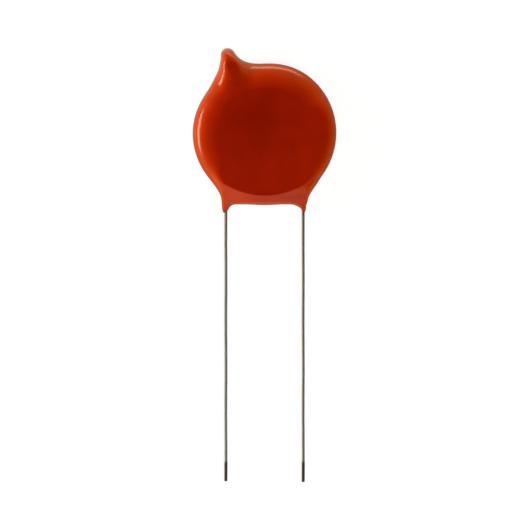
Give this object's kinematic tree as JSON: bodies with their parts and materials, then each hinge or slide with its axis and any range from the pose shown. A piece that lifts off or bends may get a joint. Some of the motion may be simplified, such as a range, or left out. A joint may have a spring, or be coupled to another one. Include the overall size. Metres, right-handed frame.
{
  "type": "ceramic disc capacitor",
  "caption": "Round ceramic disc capacitor dipped in glossy orange-red resin, with straight parallel wire leads that solder into a circuit board.",
  "frame": {"origin": "on the flat back face, on the surface that the part rests on, under the centre of the disc", "axes": "+Z out of the front face, away from the surface it rests on; -Y along the leads, from the disc to their cut ends; +X to the right when looked down on with the leads towards the viewer"},
  "size_m": [0.0186, 0.0562, 0.004],
  "materials": {
    "resin_coat": "glossy dipped and cured orange-red resin",
    "ceramic": "unglazed sintered dielectric, fine and matt",
    "fired_silver": "matt fired silver film",
    "solder": "satin soft solder",
    "tinned_wire": "satin drawn and tinned copper wire"
  },
  "bodies": {
    "root": {"coating": "resin_coat", "ceramic_disc": "ceramic", "electrode_front": "fired_silver", "electrode_back": "fired_silver", "solder_front": "solder", "solder_back": "solder", "lead_left": "tinned_wire", "lead_right": "tinned_wire"}
  },
  "joints": []
}
